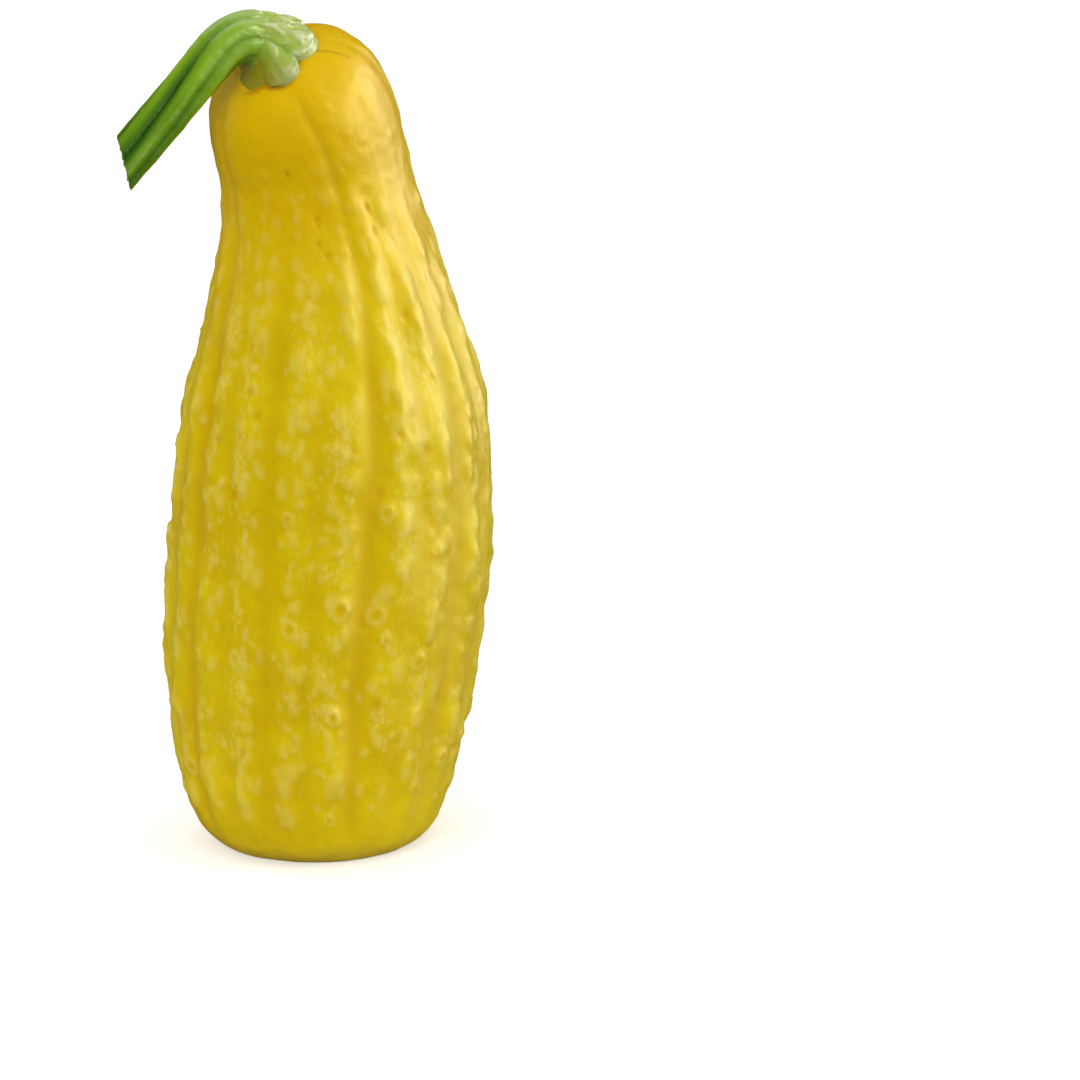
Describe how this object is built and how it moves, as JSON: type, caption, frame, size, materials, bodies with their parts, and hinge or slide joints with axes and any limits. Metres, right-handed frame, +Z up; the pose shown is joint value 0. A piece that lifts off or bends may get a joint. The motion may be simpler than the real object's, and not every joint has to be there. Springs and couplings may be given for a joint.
{
  "type": "straightneck squash",
  "caption": "Ripe yellow straightneck squash standing on its blunt end, with warty ribs, a leaning neck and a bent ribbed stem.",
  "frame": {"origin": "middle of the footprint, on the level surface that the blossom end rests on", "axes": "+Z up, from the blossom end to the stem; -Y is the side that the picture shows; the stem bends to -X and a little to -Y"},
  "size_m": [0.1105, 0.1018, 0.2616],
  "materials": {
    "fruit": "waxy yellow rind with soft broad highlights, paler on the warts and deeper in the grooves",
    "stem": "fleshy green with a soft sheen, pale and knobbly at the toes of the foot",
    "blossom_scar": "dry brown cork, rough and matt"
  },
  "bodies": {
    "root": {"fruit": "fruit", "stem": "stem", "blossom_scar": "blossom_scar"}
  },
  "joints": []
}
